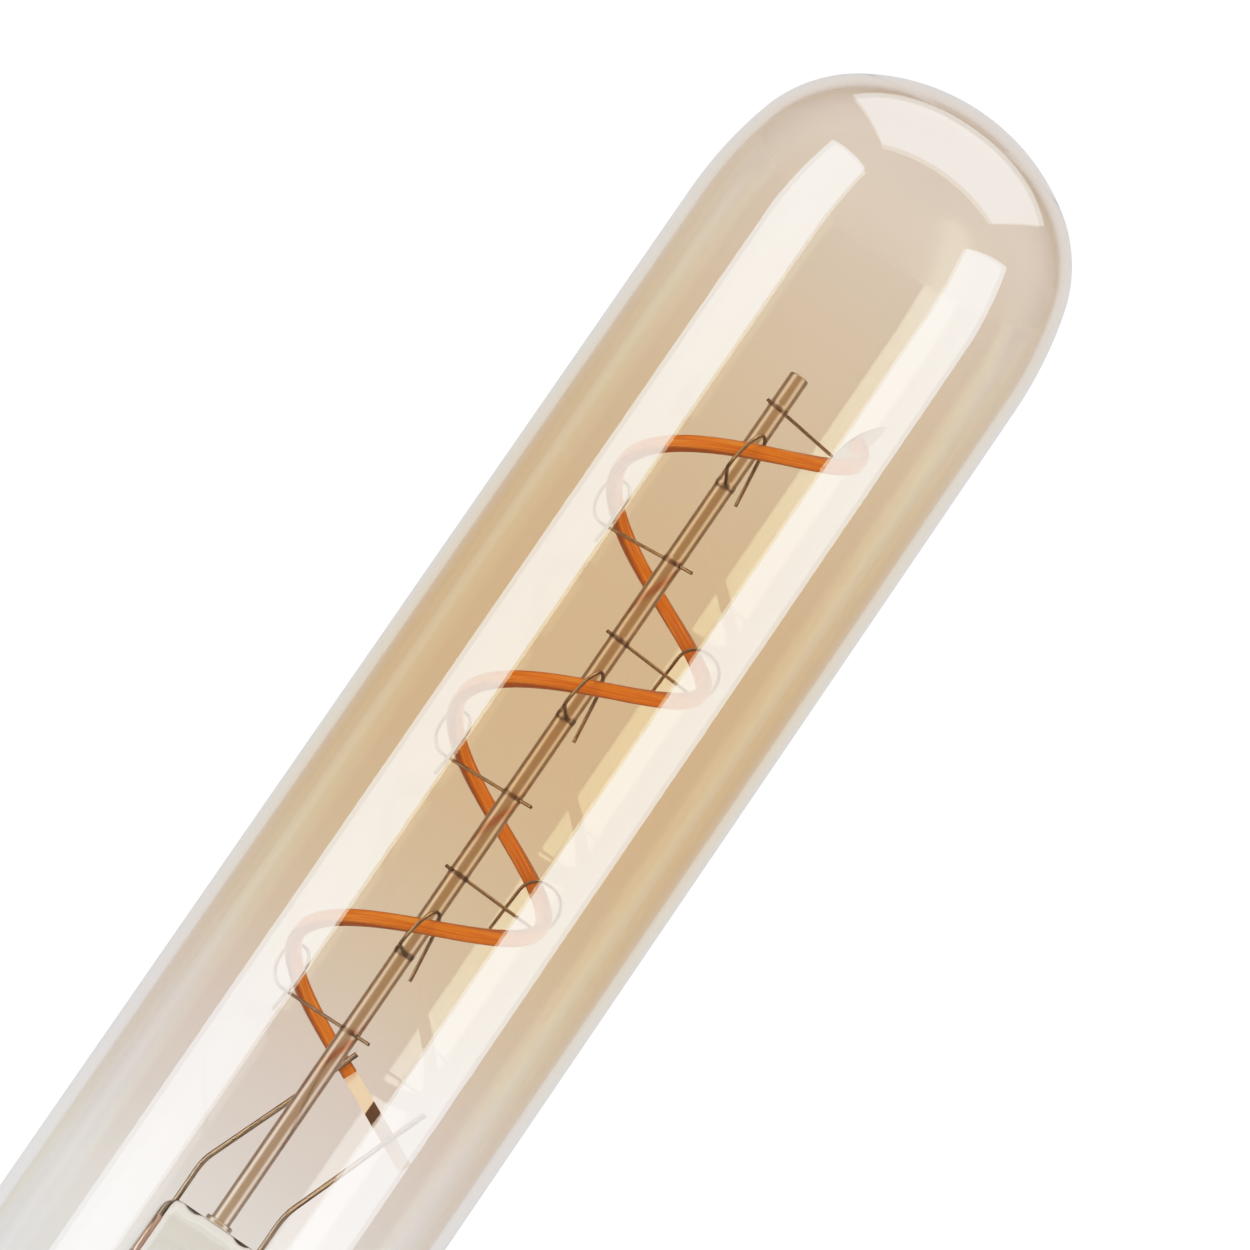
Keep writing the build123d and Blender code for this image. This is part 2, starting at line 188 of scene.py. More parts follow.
# Glass
glassValues = {"Roughness": 0.0, "IOR": 1.5, "Transmission Weight": 1.0}
tint = {
    "through": (  # height in mm, colour of what is seen through the whole bulb
        (38.0, (1.0, 0.96, 0.91)),
        (48.0, (0.99, 0.89, 0.78)),
        (56.0, (0.88, 0.74, 0.645)),
        (64.0, (0.835, 0.655, 0.545)),
        (73.0, (0.80, 0.59, 0.40)),
        (83.0, (0.78, 0.53, 0.305)),
        (95.0, (0.775, 0.49, 0.26)),
        (108.0, (0.775, 0.49, 0.258)),
        (122.0, (0.775, 0.518, 0.293)),
        (134.0, (0.81, 0.575, 0.37)),
        (145.0, (0.83, 0.635, 0.465)),
        (152.0, (0.885, 0.69, 0.555)),
        (158.0, (0.85, 0.66, 0.53)),
    ),
    "outerShare": ((138.0, 0.5), (150.0, 0.85)),  # height, outer wall's share of the colour
    "cloud": 0.008,  # uneven height of the tint
    "cloudScale": 60.0,
    "paintedRimLightAndShade": (  # the film against the angle it is seen at, 0 squarely and 1 along the surface: a painted pale band, standing in for a reflection, then painted shade towards the outline
        (0.0, (1.0, 1.0, 1.0)),
        (0.34, (1.0, 1.0, 1.0)),
        (0.48, (1.15, 1.35, 1.35)),
        (0.62, (1.1, 1.2, 1.2)),
        (0.73, (1.0, 1.03, 0.93)),
        (0.815, (0.86, 0.76, 0.585)),
        (0.85, (0.83, 0.70, 0.49)),
    ),
    "lampColor": (0.9, 0.78, 0.6, 1),
    "haze": 0.3,  # the far wall is duller on the dome
    "hazeStart": 147.0,
    "hazeEnd": 147.8,
    "frontWall": 1.0,  # surfaces that a ray has gone through when it meets the film
    "farWall": 2.0,
}
mountMarks = {
    "scale": 350.0,
    "reach": 0.02,  # how far the marks shift the painted bands of light and shade
    "lampColor": (0.9, 0.85, 0.8, 1),
}
rodLook = {
    "rough": 0.28,
    "stretch": (1, 1, 0.02),
    "seen": (  # colour against the angle it is seen at: painted shade in the middle and at the outline, painted pale bands between, standing in for what the rod refracts
        (0.0, (0.215, 0.111, 0.046)),
        (0.045, (0.225, 0.118, 0.049)),
        (0.115, (0.86, 0.72, 0.57)),
        (0.175, (0.88, 0.74, 0.60)),
        (0.29, (0.09, 0.052, 0.03)),
        (1.0, (0.08, 0.045, 0.028)),
    ),
}
pressLook = {
    "rough": 0.12,
    "stretch": (1, 1, 0.3),
    # painted light and shade by the angle it is seen at: pale grey facing the viewer, a painted dark
    # outline
    "seen": (
        (0.0, (0.74, 0.74, 0.69)),
        (0.45, (0.70, 0.70, 0.66)),
        (0.75, (0.46, 0.44, 0.40)),
        (1.0, (0.20, 0.18, 0.16)),
    ),
}


def letLampsThrough(tree, shader, color):  # shadow and diffuse rays go straight through
    path = lightPath(tree)
    straight = doMath(tree, "MAXIMUM", path["Is Shadow Ray"], path["Is Diffuse Ray"])
    mixSurface(tree, straight, shader, addNode(tree, "ShaderNodeBsdfTransparent", {"Color": color}))


def outerShare(height):
    (low, least), (high, most) = tint["outerShare"]
    return least + (most - least) * min(1.0, max(0.0, (height - low) / (high - low)))


def filmShare(height):
    return 1 - outerShare(height)


def heightTint(tree, shareAt):
    drift = {"Scale": tint["cloudScale"], "Low": -tint["cloud"], "High": tint["cloud"]}
    cloud = placeGroup(tree, grainGroup, drift)["Value"]
    low, high = tint["through"][0][0], tint["through"][-1][0]
    height = mapRange(tree, heightOf(tree), low * mm, high * mm)
    stops = []
    for place, color in tint["through"]:
        stops.append(((place - low) / (high - low), [channel ** shareAt(place) for channel in color]))
    return colorRamp(tree, doMath(tree, "ADD", height, cloud), stops)


def envelopeGlass():
    material, tree, shader = newMaterial("envelopeGlass", glassValues)
    feed(tree, shader, {"Base Color": heightTint(tree, outerShare)})
    letLampsThrough(tree, shader, tint["lampColor"])
    return material


def amberFilm():
    material, tree, shader = newMaterial("amberFilm", glassValues)
    # painted light and shade on the film by the angle it is seen at
    paintedRimLightAndShade = colorRamp(tree, facing(tree), tint["paintedRimLightAndShade"])
    color = mixValues(tree, "RGBA", 1.0, heightTint(tree, filmShare), paintedRimLightAndShade, "MULTIPLY")
    far = mapRange(tree, lightPath(tree)["Transmission Depth"], tint["frontWall"], tint["farWall"])
    dome = mapRange(tree, heightOf(tree), tint["hazeStart"] * mm, tint["hazeEnd"] * mm, 0.0, tint["haze"])
    feed(tree, shader, {"Base Color": color, "Roughness": doMath(tree, "MULTIPLY", far, dome)})
    letLampsThrough(tree, shader, tint["lampColor"])
    return material


def mountGlass(name, look):  # coloured once, on the way in, with painted light and shade by the angle it is seen at
    material, tree, shader = newMaterial(name, {**glassValues, "Roughness": look["rough"]})
    reach = mountMarks["reach"]
    drawn = {"Stretch": look["stretch"], "Scale": mountMarks["scale"], "Low": -reach, "High": reach}
    marks = placeGroup(tree, drawGroup, drawn)["Value"]
    # painted light and shade: colour by the angle the surface is seen at, its bands shifted by drawn marks
    color = colorRamp(tree, doMath(tree, "ADD", facing(tree), marks), look["seen"])
    inside = tree.nodes.new("ShaderNodeNewGeometry").outputs["Backfacing"]
    feed(tree, shader, {"Base Color": mixValues(tree, "RGBA", inside, color, white)})
    letLampsThrough(tree, shader, mountMarks["lampColor"])
    return material


outerGlass = envelopeGlass()
filmGlass = amberFilm()
stemGlass = mountGlass("stemGlass", pressLook)
rodGlass = mountGlass("rodGlass", rodLook)
print("glass materials made")


# Shaping helpers
def startAt(bm, across, height):
    return bmesh.ops.create_vert(bm, co=Vector((across, 0, height)) * mm)["vert"][0]


def lineTo(bm, vert, across, height):
    tip = bmesh.ops.extrude_vert_indiv(bm, verts=[vert])["verts"][0]
    tip.co = Vector((across, 0, height)) * mm
    return tip


def arcTo(bm, vert, across, height, degrees, steps):  # positive degrees turn from up to out
    made = bmesh.ops.spin(
        bm,
        geom=[vert],
        cent=Vector((across, 0, height)) * mm,
        axis=(0, 1, 0),
        angle=math.radians(degrees),
        steps=steps,
        use_merge=False,
    )
    return [part for part in made["geom_last"] if isinstance(part, bmesh.types.BMVert)][0]


def tidyFaces(bm):
    bmesh.ops.remove_doubles(bm, verts=bm.verts, dist=mergeGap)
    bmesh.ops.dissolve_degenerate(bm, edges=bm.edges, dist=mergeGap)
    bmesh.ops.recalc_face_normals(bm, faces=bm.faces)


def lathe(bm, steps):
    bmesh.ops.spin(
        bm,
        geom=bm.verts[:] + bm.edges[:],
        cent=(0, 0, 0),
        axis=up,
        angle=math.tau,
        steps=steps,
        use_merge=True,
    )
    tidyFaces(bm)


def extrudeRing(bm, ring, move):
    made = bmesh.ops.extrude_edge_only(bm, edges=ring)["geom"]
    verts = [part for part in made if isinstance(part, bmesh.types.BMVert)]
    bmesh.ops.translate(bm, verts=verts, vec=move)
    edges = [part for part in made if isinstance(part, bmesh.types.BMEdge)]
    return [edge for edge in edges if edge.verts[0] in verts and edge.verts[1] in verts]


def bendWire(bm, points, diameter, bend, sides, arcStep):
    points = [Vector(point) * mm for point in points]
    heading = (points[1] - points[0]).normalized()
    turn = up.rotation_difference(heading).to_matrix().to_4x4()
    matrix = Matrix.Translation(points[0]) @ turn
    radius = diameter / 2 * mm
    made = bmesh.ops.create_circle(bm, cap_ends=True, segments=sides, radius=radius, matrix=matrix)
    ring = list({edge for vert in made["verts"] for edge in vert.link_edges})
    tip = points[0]
    for before, corner, after in zip(points, points[1:], points[2:]):
        into = (corner - before).normalized()
        out = (after - corner).normalized()
        angle = into.angle(out)
        setback = bend * mm * math.tan(angle / 2)
        entry = corner - into * setback
        ring = extrudeRing(bm, ring, entry - tip)
        axis = into.cross(out).normalized()
        made = bmesh.ops.spin(
            bm,
            geom=ring,
            cent=entry + axis.cross(into) * bend * mm,
            axis=axis,
            angle=angle,
            steps=max(2, round(math.degrees(angle) / arcStep)),
            use_merge=False,
        )
        ring = [part for part in made["geom_last"] if isinstance(part, bmesh.types.BMEdge)]
        tip = corner + out * setback
    ring = extrudeRing(bm, ring, points[-1] - tip)
    bmesh.ops.contextual_create(bm, geom=ring)
    tidyFaces(bm)


def softWave(share):  # 1 at whole numbers, 0 halfway between them
    return 0.5 + 0.5 * math.cos(math.tau * share)


def linkMesh(bm, name, materials):
    mesh = bpy.data.meshes.new(name)
    bm.to_mesh(mesh)
    bm.free()
    for material in materials:
        mesh.materials.append(material)
    thing = bpy.data.objects.new(name, mesh)
    bpy.context.scene.collection.objects.link(thing)
    return thing


def addPiece(bm, name, materials, sharp=40.0):
    piece = linkMesh(bm, name, materials)
    piece.data.shade_smooth()
    piece.data.set_sharp_from_angle(angle=math.radians(sharp))
    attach(piece, "root")
    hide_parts(name.removesuffix("_look"))
    return piece


def copyNode(node, material):  # the frame's own form, merged and smoothed
    bm = bmesh.new()
    bm.from_mesh(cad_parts[node].data)
    bmesh.ops.remove_doubles(bm, verts=bm.verts, dist=mergeGap)
    return addPiece(bm, node + "_look", [material], sharp=35.0)


print("shaping helpers ready")


# Glass envelope
envelopeLow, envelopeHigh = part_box("glass_envelope")
envelope = {
    "radius": envelopeHigh.x / mm,
    "neckEnd": envelopeLow.z / mm,
    "top": envelopeHigh.z / mm,
    "wall": 1.0,
    "neckRadius": 11.5,
    "shoulderLow": 28.5,
    "shoulderHigh": 40.0,
    "domeHeight": 18.5,
    "ease": 34.0,  # radius of the dome's slow start
    "easeTurn": 15.0,
    "knuckle": 11.5,  # radius between the slow start and the flatter top
    "shoulderSteps": 10,
    "tubeParts": 4,
    "easeSteps": 8,
    "knuckleSteps": 20,
    "crestSteps": 14,
    "steps": 160,
}
domeBase = envelope["top"] - envelope["domeHeight"]


def neckAndTube(bm, inset):
    neck, tube = envelope["neckRadius"] - inset, envelope["radius"] - inset
    low, high = envelope["shoulderLow"], envelope["shoulderHigh"]
    across, rise = (tube - neck) / 2, (high - low) / 2
    sweep = (across**2 + rise**2) / (2 * across)
    turn = 2 * math.degrees(math.atan2(across, rise))
    vert = first = startAt(bm, neck, envelope["neckEnd"])
    vert = lineTo(bm, vert, neck, low)
    vert = arcTo(bm, vert, neck + sweep, low, turn, envelope["shoulderSteps"])
    vert = arcTo(bm, vert, tube - sweep, high, -turn, envelope["shoulderSteps"])
    for part in range(1, envelope["tubeParts"] + 1):
        vert = lineTo(bm, vert, tube, high + (domeBase - high) * part / envelope["tubeParts"])
    return first, vert


def domeArcs(bm, vert):  # both walls turn about the same centres
    ease, knuckle = envelope["ease"], envelope["knuckle"]
    turn = math.radians(envelope["easeTurn"])
    aside = envelope["radius"] - ease
    vert = arcTo(bm, vert, aside, domeBase, -envelope["easeTurn"], envelope["easeSteps"])
    aside += (ease - knuckle) * math.cos(turn)
    level = domeBase + (ease - knuckle) * math.sin(turn)
    rise = envelope["top"] - level
    crest = (aside**2 + rise**2 - knuckle**2) / (2 * (rise - knuckle))
    lean = math.degrees(math.atan2(aside, crest - rise))
    vert = arcTo(bm, vert, aside, level, lean + envelope["easeTurn"] - 90, envelope["knuckleSteps"])
    arcTo(bm, vert, 0, envelope["top"] - crest, -lean, envelope["crestSteps"])


def makeEnvelope():
    bm = bmesh.new()
    starts = []
    for inset in (0, envelope["wall"]):
        first, last = neckAndTube(bm, inset)
        domeArcs(bm, last)
        starts.append(first)
    bmesh.ops.contextual_create(bm, geom=starts)
    lathe(bm, envelope["steps"])
    for face in bm.faces:  # the film is on the inner wall
        centre = face.calc_center_median()
        away = centre - Vector((0, 0, min(centre.z, domeBase * mm)))
        face.material_index = 1 if face.normal.dot(away) < 0 else 0
    return addPiece(bm, "glass_envelope_look", [outerGlass, filmGlass])


makeEnvelope()
print("envelope made")


# Spiral of the strip, which its supports climb with
coil = {
    "radius": 7.9,
    "pitch": 22.88,
    "turns": 2.82,
    "start": 90.0,
    "bottom": 66.8,
    "width": 1.25,
    "depth": 1.1,
    "corner": 0.34,
    "cornerSteps": 4,
    "tail": 2.2,  # straight lower end
    "endReach": 0.05,  # a face this near to the start is the strip's end
    "stepsPerTurn": 72,
}
support = {
    "count": 9,
    "step": 120.0,  # degrees from one support to the next
    "diameter": 0.3,
    "loop": 1.85,  # from the strip's middle to the wire's
    "slack": 0.07,
    "shift": 2.1,  # the loop goes sideways by this much
    "tail": 1.9,
    "stubs": (1.3, 1.1, 0.5),  # ends on the rod's other side
    "sides": 12,
    "arcStep": 8.0,
}
slope = math.atan(coil["pitch"] / (math.tau * coil["radius"]))


def coilLevel(angle):
    return coil["bottom"] + coil["pitch"] * angle / 360


def coilPoint(angle, radius, lift=0.0, aside=0.0):
    turn = math.radians(coil["start"] + angle)
    out = Vector((math.cos(turn), math.sin(turn), 0))
    return out * radius + up.cross(out) * aside + up * (coilLevel(angle) + lift)


def supportAngle(index):
    return 360 * coil["turns"] - support["step"] * (support["count"] - 1 - index)


# Stem, exhaust tube and rod
stemLow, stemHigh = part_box("glass_stem")
neckGap = 0.02  # between the rim of the stem and the neck
stem = {
    "rimBottom": stemLow.z / mm,
    "rimTop": envelope["neckEnd"] - neckGap,
    "rimRadius": stemHigh.x / mm,
    "flareRadius": 10.2,
    "bodyRadius": 4.7,
    "wall": 0.9,
    "flareTop": 31.0,
    "flareSteps": 12,
    "cavityEnd": ((1.0, 2.6), (1.7, 1.2)),  # height above the pinch's foot, radius
    "pinchLow": 41.0,
    "pinchHigh": 45.0,
    "pinchSteps": 8,
    "pressTop": 50.0,
    "pressHalf": 1.7,
    "edge": 1.5,  # rounding of the top
    "edgeStep": 10,
    "dip": 0.25,  # of the top on each side of the rod
    "dipMiddle": 2.3,
    "dipHalf": 0.8,
    "segments": 96,
}


def stadiumRing(bm, height, half, thick):  # round ended ring, a circle where half equals thick
    made = bmesh.ops.create_circle(bm, cap_ends=False, segments=stem["segments"], radius=1.0)["verts"]
    for vert in made:
        across = half * vert.co.x
        over = max(0.0, abs(across) - (half - thick))
        deep = math.copysign(math.sqrt(max(0.0, thick**2 - over**2)), vert.co.y)
        if abs(vert.co.y) < nearZero:
            deep = 0.0
        vert.co = Vector((across, deep, height)) * mm
    return list({edge for vert in made for edge in vert.link_edges})


def flareRings():  # height and radius, from the rim up to the straight body
    low, high = stem["rimTop"], stem["flareTop"]
    spread = stem["flareRadius"] - stem["bodyRadius"]
    sweep = ((high - low) ** 2 + spread**2) / (2 * spread)
    rings = []
    for step in range(1, stem["flareSteps"] + 1):
        height = low + (high - low) * step / stem["flareSteps"]
        inward = sweep - math.sqrt(sweep**2 - (high - height) ** 2)
        rings.append((height, stem["bodyRadius"] + inward))
    return rings


def pressRings():  # height, half width and half thickness, from the round body to the press's rounded top
    low, high = stem["pinchLow"], stem["pinchHigh"]
    body, press, edge = stem["bodyRadius"], stem["pressHalf"], stem["edge"]
    rings = [(low, body, body)]
    for step in range(1, stem["pinchSteps"] + 1):
        share = step / stem["pinchSteps"]
        flat = 1 - softWave(share / 2)
        rings.append((low + (high - low) * share, body, body + (press - body) * flat))
    for degrees in range(0, 90, stem["edgeStep"]):
        drop = edge * (1 - math.sin(math.radians(degrees)))
        inward = edge * (1 - math.cos(math.radians(degrees)))
        rings.append((stem["pressTop"] - drop, body - inward, press - inward))
    return rings


def dipTop(bm):  # on each side of the rod
    for vert in bm.verts:
        above = vert.co.z / mm - (stem["pressTop"] - stem["edge"])
        if above > 0:
            aside = (abs(vert.co.x) / mm - stem["dipMiddle"]) / stem["dipHalf"]
            vert.co.z -= stem["dip"] * max(0.0, 1 - aside**2) * above / stem["edge"] * mm


def makeStem():
    rim, flare, wall = stem["rimRadius"], stem["flareRadius"], stem["wall"]
    outer = [(stem["rimBottom"], rim, rim), (stem["rimTop"], rim, rim), (stem["rimTop"], flare, flare)]
    outer += [(height, radius, radius) for height, radius in flareRings()]
    outer += pressRings()
    inner = [(stem["rimBottom"], flare - wall)]
    inner += [(height, radius - wall) for height, radius in flareRings()]
    inner.append((stem["pinchLow"], stem["bodyRadius"] - wall))
    inner += [(stem["pinchLow"] + rise, radius) for rise, radius in stem["cavityEnd"]]
    bm = bmesh.new()
    body = [stadiumRing(bm, *ring) for ring in outer]
    cavity = [stadiumRing(bm, height, radius, radius) for height, radius in inner]
    for rings in (body, cavity):
        for lower, upper in zip(rings, rings[1:]):
            bmesh.ops.bridge_loops(bm, edges=lower + upper)
        bmesh.ops.contextual_create(bm, geom=rings[-1])
    bmesh.ops.bridge_loops(bm, edges=body[0] + cavity[0])
    dipTop(bm)
    tidyFaces(bm)
    return addPiece(bm, "glass_stem_look", [stemGlass])


exhaustLow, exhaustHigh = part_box("exhaust_tube")
exhaust = {
    "radius": exhaustHigh.x / mm,
    "tip": exhaustLow.z / mm,
    "wall": 0.7,
    "seat": 1.0,  # how far it goes in above the pinch's foot
    "tipSteps": 8,
    "steps": 48,
}


def makeExhaust():
    radius, bore = exhaust["radius"], exhaust["radius"] - exhaust["wall"]
    centre, end = exhaust["tip"] + radius, stem["pinchLow"] + exhaust["seat"]
    bm = bmesh.new()
    vert = startAt(bm, 0, exhaust["tip"])
    vert = arcTo(bm, vert, 0, centre, -90, exhaust["tipSteps"])
    vert = lineTo(bm, vert, radius, end)
    vert = lineTo(bm, vert, bore, end)
    vert = lineTo(bm, vert, bore, centre)
    arcTo(bm, vert, 0, centre, 90, exhaust["tipSteps"])
    lathe(bm, exhaust["steps"])
    return addPiece(bm, "exhaust_tube_look", [stemGlass])


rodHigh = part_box("centre_rod")[1]
rod = {
    "radius": rodHigh.x / mm,
    "top": rodHigh.z / mm,
    "footRadius": 1.2,  # the boss that the rod is fused to
    "footHeight": 0.4,
    "footGap": 0.03,
    "edge": 0.12,
    "edgeSteps": 4,
    "swell": 0.05,  # where a support wire goes through
    "swellHalf": 0.4,
    "swellParts": 6,
    "steps": 48,
}


def roundEdge(bm, vert, radius, top):  # up the side and round the rod's edge
    vert = lineTo(bm, vert, radius, top - rod["edge"])
    return arcTo(bm, vert, radius - rod["edge"], top - rod["edge"], -90, rod["edgeSteps"])


def makeRod():
    bm = bmesh.new()
    seat = stem["pressTop"] + rod["footGap"]
    foot = stem["pressTop"] + rod["footHeight"]
    vert = startAt(bm, 0, seat)
    vert = lineTo(bm, vert, rod["footRadius"], seat)
    vert = roundEdge(bm, vert, rod["footRadius"], foot)
    vert = lineTo(bm, vert, rod["radius"], foot)
    parts = rod["swellParts"]
    for index in range(support["count"]):
        middle = coilLevel(supportAngle(index)) - support["loop"]
        for part in range(-parts, parts + 1):
            bulge = rod["swell"] * softWave(part / parts / 2)
            vert = lineTo(bm, vert, rod["radius"] + bulge, middle + rod["swellHalf"] * part / parts)
    vert = roundEdge(bm, vert, rod["radius"], rod["top"])
    lineTo(bm, vert, 0, rod["top"])
    lathe(bm, rod["steps"])
    return addPiece(bm, "centre_rod_look", [rodGlass], sharp=50.0)


makeStem()
makeExhaust()
makeRod()
print("stem, exhaust tube and rod made")


# Finishes of the strip, wires and cap
metalWear = {
    "shade": 0.88,  # colour of the hollows as a share of the metal's own
    "spread": (0.35, 0.65),  # of the marks, from hollow to crest
    "bump": 0.1,
    "depth": 0.01,
}
paintGrain = {"spread": (0.3, 0.7), "bump": 0.2}
stripLook = {
    "gloss": 0.25,
    # random lengthwise streaks of tone; their lightest colour is a painted highlight
    "streaksAndPaintedHighlights": ((0.34, (0.43, 0.10, 0.003)), (0.5, (0.53, 0.155, 0.006)), (0.68, (0.62, 0.24, 0.035))),
    "streakScale": 5000.0,
    "streakDetail": 2.0,
    "streakStep": 0.3,  # mm of noise to a radian of the spiral, which draws the streaks out along it
    # painted shade: the strip's upper and lower edges darken towards this colour, standing in for the
    # shading of its rounded sides
    "edge": (0.26, 0.07, 0.003, 1),
    "paintedShadeStart": 0.42,  # mm from the middle of the strip
    "paintedShadeEnd": 0.68,
    "rough": (0.45, 0.3),
    "bump": 0.2,
    "depth": 0.03,
}
tabLook = {
    "span": 12.0,  # mm along X
    # where the painted highlight ends and where the painted dark reflection begins and ends
    "paintedGlintEnd": 4.75,
    "paintedDarkStart": 4.80,
    "paintedDarkEnd": 5.85,
    "paleStart": 6.1,
    # painted highlight: a cream reflection of a bright panel, put into the colour
    "paintedGlint": (0.98, 0.88, 0.93),
    # painted shade: a dark reflection, put into the colour
    "paintedDark": (0.075, 0.042, 0.02),
    "pale": (0.62, 0.55, 0.48),
    "paleMetal": 0.6,
    "grainScale": 1500.0,
    "rough": (0.28, 0.42),
    "bump": 0.2,
    "depth": 0.02,
}


def drawnMetal(name, color, rough, stretch=(1, 1, 0.05), scale=2500.0, edge=1.0):
    material, tree, shader = newMaterial(name, {"Metallic": 1.0, "Specular Tint": (edge, edge, edge, 1)})
    low, high = rough
    marks = placeGroup(tree, drawGroup, {"Stretch": stretch, "Scale": scale, "Low": low, "High": high})
    hollow, crest = metalWear["spread"]
    dull = [channel * metalWear["shade"] for channel in color]
    looks = {
        "Base Color": colorRamp(tree, marks["Height"], ((hollow, dull), (crest, color))),
        "Roughness": marks["Value"],
        "Normal": bumpFrom(tree, marks["Height"], metalWear["bump"], metalWear["depth"]),
    }
    feed(tree, shader, looks)
    return material


def softPaint(name, dark, light, rough, scale, depth):
    material, tree, shader = newMaterial(name, {})
    low, high = rough
    grain = placeGroup(tree, grainGroup, {"Scale": scale, "Low": low, "High": high})
    hollow, crest = paintGrain["spread"]
    looks = {
        "Base Color": colorRamp(tree, grain["Height"], ((hollow, dark), (crest, light))),
        "Roughness": grain["Value"],
        "Normal": bumpFrom(tree, grain["Height"], paintGrain["bump"], depth),
    }
    feed(tree, shader, looks)
    return material


def acrossStrip(tree, place, turn):  # height above the spiral's own middle line
    half = coil["pitch"] / 2 * mm
    foot = coilLevel(-coil["start"]) * mm
    climb = doMath(tree, "MULTIPLY_ADD", turn, half / math.pi, foot)
    return doMath(tree, "WRAP", doMath(tree, "SUBTRACT", place["Z"], climb), half, -half)


def stripCoat():  # streaks and the painted shade at the strip's edges follow the spiral; the lightest streaks are painted highlights
    look = stripLook
    material, tree, shader = newMaterial("stripCoating", {"Specular IOR Level": look["gloss"]})
    place = splitVector(tree, objectPoint(tree))
    turn = doMath(tree, "ARCTAN2", place["Y"], place["X"])
    across = acrossStrip(tree, place, turn)
    along = doMath(tree, "MULTIPLY", turn, look["streakStep"] * mm)
    point = addNode(tree, "ShaderNodeCombineXYZ", {"X": across, "Y": along}).outputs["Vector"]
    values = {"Vector": point, "Scale": look["streakScale"], "Detail": look["streakDetail"]}
    noise = addNode(tree, "ShaderNodeTexNoise", values).outputs["Fac"]
    aside = doMath(tree, "ABSOLUTE", across)
    # painted shade, darker towards the strip's upper and lower edges
    edge = mapRange(tree, aside, look["paintedShadeStart"] * mm, look["paintedShadeEnd"] * mm)
    streaksAndPaintedHighlights = colorRamp(tree, noise, look["streaksAndPaintedHighlights"])
    looks = {
        "Base Color": mixValues(tree, "RGBA", edge, streaksAndPaintedHighlights, look["edge"]),
        "Roughness": mapRange(tree, noise, *noiseRange, *look["rough"]),
        "Normal": bumpFrom(tree, noise, look["bump"], look["depth"]),
    }
    feed(tree, shader, looks)
    return material


def paintedGlintTab():  # a painted highlight where it leaves the strip, standing in for a reflection of a bright panel, then painted shade standing in for a dark reflection, then the tab's own pale metal
    look = tabLook
    material, tree, shader = newMaterial("paintedGlintTab", {})
    reach = splitVector(tree, objectPoint(tree))["X"]
    low, high = look["rough"]
    grain = placeGroup(tree, grainGroup, {"Scale": look["grainScale"], "Low": low, "High": high})
    spots = {"paintedGlintEnd": "paintedGlint", "paintedDarkStart": "paintedDark", "paintedDarkEnd": "paintedDark", "paleStart": "pale"}
    stops = [(look[spot] / look["span"], look[color]) for spot, color in spots.items()]
    paintedDarkEdge = look["paintedDarkEnd"] * mm, look["paleStart"] * mm
    looks = {
        # painted highlight, then painted shade, then the tab's own pale metal, along X
        "Base Color": colorRamp(tree, mapRange(tree, reach, 0.0, look["span"] * mm), stops),
        "Metallic": mapRange(tree, reach, *paintedDarkEdge, 0.0, look["paleMetal"]),
        "Roughness": grain["Value"],
        "Normal": bumpFrom(tree, grain["Height"], look["bump"], look["depth"]),
    }
    feed(tree, shader, looks)
    return material


stripCoating = stripCoat()
lowerTabMetal = paintedGlintTab()
supportMetal = drawnMetal("supportMetal", (0.26, 0.193, 0.135), (0.3, 0.45), edge=0.35)
leadMetal = drawnMetal("leadMetal", (0.29, 0.235, 0.185), (0.3, 0.42), edge=0.25)
tabMetal = drawnMetal("tabMetal", (0.50, 0.47, 0.43), (0.25, 0.4), stretch=(0.05, 1, 1), edge=0.3)
sealCopper = drawnMetal("sealCopper", (0.76, 0.53, 0.48), (0.35, 0.5), edge=0.4)
leadCopper = drawnMetal("leadCopper", (0.80, 0.47, 0.31), (0.25, 0.4))
capMetal = drawnMetal("capMetal", (0.80, 0.79, 0.77), (0.2, 0.32), stretch=(1, 1, 8), scale=300.0)
contactMetal = drawnMetal("contactMetal", (0.72, 0.70, 0.67), (0.3, 0.5), stretch=(1, 1, 1), scale=900.0)
insulatorGlass = softPaint(
    "insulatorGlass",
    dark=(0.006, 0.006, 0.007),
    light=(0.014, 0.013, 0.014),
    rough=(0.08, 0.2),
    scale=700.0,
    depth=0.02,
)
cementPaste = softPaint(
    "cementPaste",
    dark=(0.52, 0.47, 0.38),
    light=(0.64, 0.59, 0.49),
    rough=(0.8, 0.95),
    scale=1500.0,
    depth=0.1,
)
boardGreen = softPaint(
    "boardGreen",
    dark=(0.02, 0.10, 0.035),
    light=(0.035, 0.15, 0.05),
    rough=(0.3, 0.45),
    scale=800.0,
    depth=0.02,
)
chipPlastic = softPaint(
    "chipPlastic",
    dark=(0.012, 0.012, 0.013),
    light=(0.026, 0.026, 0.028),
    rough=(0.5, 0.65),
    scale=3000.0,
    depth=0.03,
)
ceramicBody = softPaint(
    "ceramicBody",
    dark=(0.05, 0.05, 0.06),
    light=(0.10, 0.10, 0.11),
    rough=(0.35, 0.5),
    scale=2500.0,
    depth=0.02,
)
canSleeve = softPaint(
    "canSleeve",
    dark=(0.02, 0.022, 0.035),
    light=(0.035, 0.04, 0.06),
    rough=(0.3, 0.42),
    scale=1200.0,
    depth=0.02,
)
print("metal and plastic finishes made")


